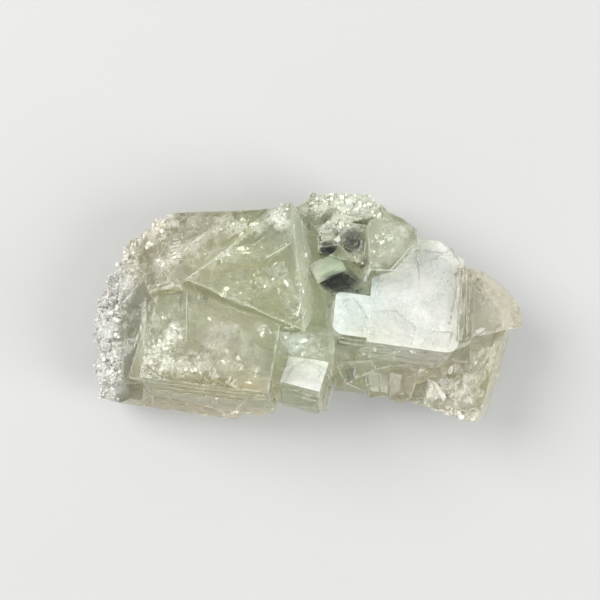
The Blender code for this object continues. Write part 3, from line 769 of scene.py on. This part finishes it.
def sugar_grains(mesh_data):
    """Tiny crystals, turned all ways, that stand a little out of the frosted and broken surfaces."""
    chance = random.Random(SUGAR_SEED)
    lowest, highest = (Vector(corner) for corner in cad_box)
    whole = bmesh.new()
    faces = [face for face in mesh_data.polygons if sugared(face.center)]
    for face in chance.sample(faces, min(SUGAR_COUNT, len(faces))):
        size = chance.uniform(*SUGAR_SIZES) * MM
        middle = face.center - face.normal * size * SUGAR_SINK
        if min(*(middle - lowest), *(highest - middle)) < size * SUGAR_ROOM:
            continue
        turned = Euler([chance.uniform(0, math.pi) for axis in range(3)]).to_matrix().to_4x4()
        stretch = Matrix.Diagonal((size, size * chance.uniform(0.5, 1), size * chance.uniform(0.6, 1), 1))
        bmesh.ops.create_cube(whole, size=1, matrix=Matrix.Translation(middle) @ turned @ stretch)
    bmesh.ops.triangulate(whole, faces=whole.faces)
    tinted(whole)
    data = bpy.data.meshes.new("sugar_grains")
    whole.to_mesh(data)
    whole.free()
    piece = bpy.data.objects.new("sugar_grains", data)
    bpy.context.scene.collection.objects.link(piece)
    return piece


def sugared(co):
    """True where the surface is strongly frosted, more so in some spots than in others."""
    return co.z > SUGAR_LOWEST * MM and patch_frost(co) > 0.48 + 0.3 * noise.noise(co / MM * 0.9)


class Nodes:
    """A material's nodes, each added with its values and its links in one call."""

    def __init__(self, name):
        self.material = bpy.data.materials.new(name)
        self.material.use_nodes = True
        self.tree = self.material.node_tree
        self.shader = self.tree.nodes["Principled BSDF"]
        self.output = self.tree.nodes["Material Output"]

    def add(self, kind, inputs=(), **settings):
        node = self.tree.nodes.new("ShaderNode" + kind)
        for key, value in settings.items():
            setattr(node, key, value)
        for socket, value in dict(inputs).items():
            self.put(node.inputs[socket], value)
        return node

    def put(self, socket, value):
        if isinstance(value, bpy.types.NodeSocket):
            self.tree.links.new(value, socket)
        else:
            socket.default_value = value

    def math(self, operation, a, b=0.0, clamp=False):
        return self.add("Math", {0: a, 1: b}, operation=operation, use_clamp=clamp).outputs[0]

    def spread(self, value, low, high, to_low=0.0, to_high=1.0):
        inputs = {"Value": value, "From Min": low, "From Max": high, "To Min": to_low, "To Max": to_high}
        return self.add("MapRange", inputs).outputs[0]

    def noise(self, place, scale, detail=3.0, roughness=0.55):
        inputs = {"Vector": place, "Scale": scale, "Detail": detail, "Roughness": roughness}
        return self.add("TexNoise", inputs).outputs["Fac"]

    def mix(self, share, a, b, blend="MIX"):
        return self.add("Mix", {0: share, 6: a, 7: b}, data_type="RGBA", blend_type=blend).outputs[2]

    def voronoi(self, place, scale):
        return self.add("TexVoronoi", {"Vector": place, "Scale": scale}).outputs["Distance"]

    def fact(self, name, output="Fac"):
        return self.add("Attribute", attribute_name=name).outputs[output]


def fluorite_material():
    """Clear green crystal that absorbs light on the way through, and turns white and rough with its frost."""
    nodes = Nodes("fluorite")
    spot = nodes.add("TexCoord").outputs["Object"]
    cloud = nodes.noise(spot, 520.0, 9.0, 0.8)
    grain = nodes.noise(spot, 1500.0, 3.0)
    sugar = nodes.voronoi(spot, 2300.0)

    # How frosted: patches of cloud, whole faces, edges whitened as wear and as a painted highlight, and faint
    # veils over the rest.
    mottled = nodes.math("MULTIPLY", nodes.fact("patch_frost"), nodes.spread(cloud, 0.45, 0.56, 0.1, 1.1))
    mottled = nodes.math("MAXIMUM", mottled, nodes.spread(nodes.fact("patch_frost"), 0.5, 1.0, 0.0, 0.7))
    patches = nodes.spread(nodes.noise(spot, 330.0, 4.0, 0.6), 0.38, 0.62)
    faced = nodes.math("MULTIPLY", nodes.fact("facet_frost"), nodes.spread(patches, 0.0, 1.0, 0.86, 1.1))
    edge_wear_and_highlight = nodes.math("MULTIPLY", nodes.fact("edge"), nodes.spread(grain, 0.3, 0.7, 0.3, 0.65))
    frost = nodes.math("MAXIMUM", nodes.math("MAXIMUM", mottled, faced), edge_wear_and_highlight)
    veil = nodes.spread(nodes.noise(spot, 190.0, 6.0, 0.7), 0.56, 0.74, 0.0, 0.4)
    frost = nodes.math("MAXIMUM", frost, veil, clamp=True)
    # Painted glints: white specks on the frost that stand in for small sparkles of light.
    painted_glints = nodes.math(
        "MULTIPLY", nodes.spread(nodes.voronoi(spot, 1700.0), 0.22, 0.12), nodes.spread(frost, 0.25, 0.6)
    )

    # The colour: the place's tint, white frost with brighter specks of painted glint over it, dark cracks,
    # and painted shade in the notches, the hollow and on grey facets.
    white = nodes.mix(patches, (0.78, 0.84, 0.84, 1), (0.88, 0.87, 0.85, 1))
    white = nodes.mix(nodes.spread(cloud, 0.56, 0.4, 0.0, 0.8), white, (0.66, 0.70, 0.67, 1))
    tint = nodes.fact("tint", "Color")
    white = nodes.mix(0.75, white, tint, "MULTIPLY")
    white = nodes.mix(painted_glints, white, (1.0, 1.0, 1.0, 1))
    color = nodes.mix(frost, tint, white)
    # Painted shade in the notches, the hollow and on grey facets, with the dark cracks, darkens the colour
    # here.
    dark = nodes.math("MAXIMUM", nodes.fact("dark"), nodes.fact("facet_painted_shade_and_crack"))
    shade = nodes.math("MULTIPLY", dark, nodes.spread(cloud, 0.38, 0.58, 1.25, 0.75), clamp=True)
    color = nodes.mix(shade, color, (0.05, 0.05, 0.042, 1))
    shader = nodes.shader
    nodes.put(shader.inputs["Base Color"], color)

    # How clear, smooth and even it is: less with frost, and less clear under painted shade.
    clear = nodes.spread(frost, 0.0, 1.0, 0.98, 0.24)
    clear = nodes.math("MULTIPLY", clear, nodes.spread(shade, 0.5, 1.0, 1.0, 0.5))
    nodes.put(shader.inputs["Transmission Weight"], clear)
    nodes.put(shader.inputs["Roughness"], nodes.spread(frost, 0.0, 1.0, 0.03, 0.42))
    shader.inputs["IOR"].default_value = IOR
    broken = nodes.math("MAXIMUM", nodes.fact("patch_frost"), nodes.fact("facet_frost"))
    rough = nodes.math("MULTIPLY", broken, nodes.math("ADD", grain, sugar))
    bump = nodes.add("Bump", {"Height": rough, "Strength": 0.8, "Distance": 0.00015})
    nodes.put(shader.inputs["Normal"], bump.outputs[0])
    absorb = nodes.add("VolumeAbsorption", {"Color": ABSORPTION_COLOR, "Density": ABSORPTION_DENSITY})
    nodes.put(nodes.output.inputs["Volume"], absorb.outputs[0])
    return nodes.material


def veil_material():
    """Wisps that mirror in flecks on the healed cracks, and pale streaks on the cleavage planes."""
    nodes = Nodes("healed_cracks")
    spot = nodes.add("TexCoord").outputs["Object"]
    wisps = nodes.spread(nodes.noise(spot, 1100.0, 9.0, 0.8), 0.5, 0.56)
    alpha = nodes.math("MULTIPLY", wisps, nodes.fact("fade"), clamp=True)
    streaks = nodes.spread(nodes.noise(spot, 260.0, 5.0, 0.6), 0.36, 0.6, 0.35, 1.2)
    alpha = nodes.math("MAXIMUM", alpha, nodes.math("MULTIPLY", nodes.fact("plain"), streaks))
    color = nodes.mix(wisps, (0.82, 0.87, 0.78, 1), (0.97, 0.98, 0.96, 1))
    nodes.put(nodes.shader.inputs["Base Color"], color)
    nodes.put(nodes.shader.inputs["Alpha"], alpha)
    mirrors = nodes.spread(nodes.noise(spot, 1500.0, 4.0, 0.7), 0.5, 0.54)
    nodes.put(nodes.shader.inputs["Metallic"], mirrors)
    nodes.shader.inputs["Roughness"].default_value = 0.16
    return nodes.material


def sugar_material():
    """Small, half clear grains with the tint of their place."""
    nodes = Nodes("sugar")
    spot = nodes.add("TexCoord").outputs["Object"]
    specks = nodes.spread(nodes.noise(spot, 1400.0, 3.0), 0.35, 0.65)
    pale = nodes.mix(specks, (1.0, 1.0, 1.0, 1), (0.94, 0.95, 0.93, 1))
    color = nodes.mix(0.9, pale, nodes.fact("tint", "Color"), "MULTIPLY")
    nodes.put(nodes.shader.inputs["Base Color"], color)
    nodes.put(nodes.shader.inputs["Transmission Weight"], nodes.spread(specks, 0.0, 1.0, 0.12, 0.66))
    nodes.shader.inputs["Roughness"].default_value = 0.1
    nodes.shader.inputs["IOR"].default_value = IOR
    return nodes.material


def floor_material():
    nodes = Nodes("floor")
    spot = nodes.add("TexCoord").outputs["Object"]
    grain = nodes.noise(spot, 30.0, 2.0)
    shaded = tuple(channel * 0.97 for channel in FLOOR_COLOR[:3]) + (1,)
    nodes.put(nodes.shader.inputs["Base Color"], nodes.mix(grain, FLOOR_COLOR, shaded))
    nodes.shader.inputs["Roughness"].default_value = 0.7
    return nodes.material


def floor():
    mesh = bmesh.new()
    bmesh.ops.create_grid(mesh, x_segments=2, y_segments=2, size=FLOOR_SIZE)
    data = bpy.data.meshes.new("floor")
    mesh.to_mesh(data)
    mesh.free()
    piece = bpy.data.objects.new("floor", data)
    piece.location.z = -FLOOR_DROP * MM
    piece.data.materials.append(floor_material())
    bpy.context.scene.collection.objects.link(piece)


def area_light(name, spot, size, power, color):
    """A round lamp that points at the middle of the cluster's foot."""
    data = bpy.data.lights.new(name, "AREA")
    data.shape = "DISK"
    data.size = size
    data.energy = power
    data.color = color
    light = bpy.data.objects.new(name, data)
    light.location = spot
    light.rotation_euler = (-Vector(spot)).to_track_quat("-Z", "Y").to_euler()
    bpy.context.scene.collection.objects.link(light)


def camera():
    data = bpy.data.cameras.new("camera")
    data.sensor_width = SENSOR_WIDTH
    data.lens = SENSOR_WIDTH * CAMERA_DISTANCE / CAMERA_WIDTH
    data.clip_start = 0.01
    piece = bpy.data.objects.new("camera", data)
    piece.location = place(*CAMERA_PLACE, CAMERA_PLANE + CAMERA_DISTANCE)
    bpy.context.scene.collection.objects.link(piece)
    bpy.context.scene.camera = piece


def light_the_scene():
    """Soft light from a pale sky that darkens to the sides, from one big window and from a weaker fill."""
    world = bpy.data.worlds.new("studio")
    world.use_nodes = True
    tree = world.node_tree
    height = tree.nodes.new("ShaderNodeSeparateXYZ")
    coords = tree.nodes.new("ShaderNodeTexCoord")
    ramp = tree.nodes.new("ShaderNodeValToRGB")
    horizon, sky = ramp.color_ramp.elements
    horizon.position = 0.0
    horizon.color = HORIZON_COLOR
    sky.position = SKY_FULL_HEIGHT
    sky.color = SKY_COLOR
    tree.links.new(coords.outputs["Generated"], height.inputs[0])
    tree.links.new(height.outputs["Z"], ramp.inputs[0])
    tree.links.new(ramp.outputs[0], tree.nodes["Background"].inputs["Color"])
    tree.nodes["Background"].inputs["Strength"].default_value = SKY_STRENGTH
    bpy.context.scene.world = world
    area_light("window", *WINDOW)
    area_light("fill", *FILL)
    bpy.context.scene.view_settings.view_transform = "Standard"


camera()
crystals = crystal_surface()
surface = tree_of(crystals.data)
veils = inner_veils(surface)
crystals.data.materials.append(fluorite_material())
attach(crystals, "root")
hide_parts("fluorite_cluster")
veils.data.materials.append(veil_material())
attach(veils, "root")
sugar = sugar_grains(crystals.data)
sugar.data.materials.append(sugar_material())
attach(sugar, "root")
floor()
light_the_scene()
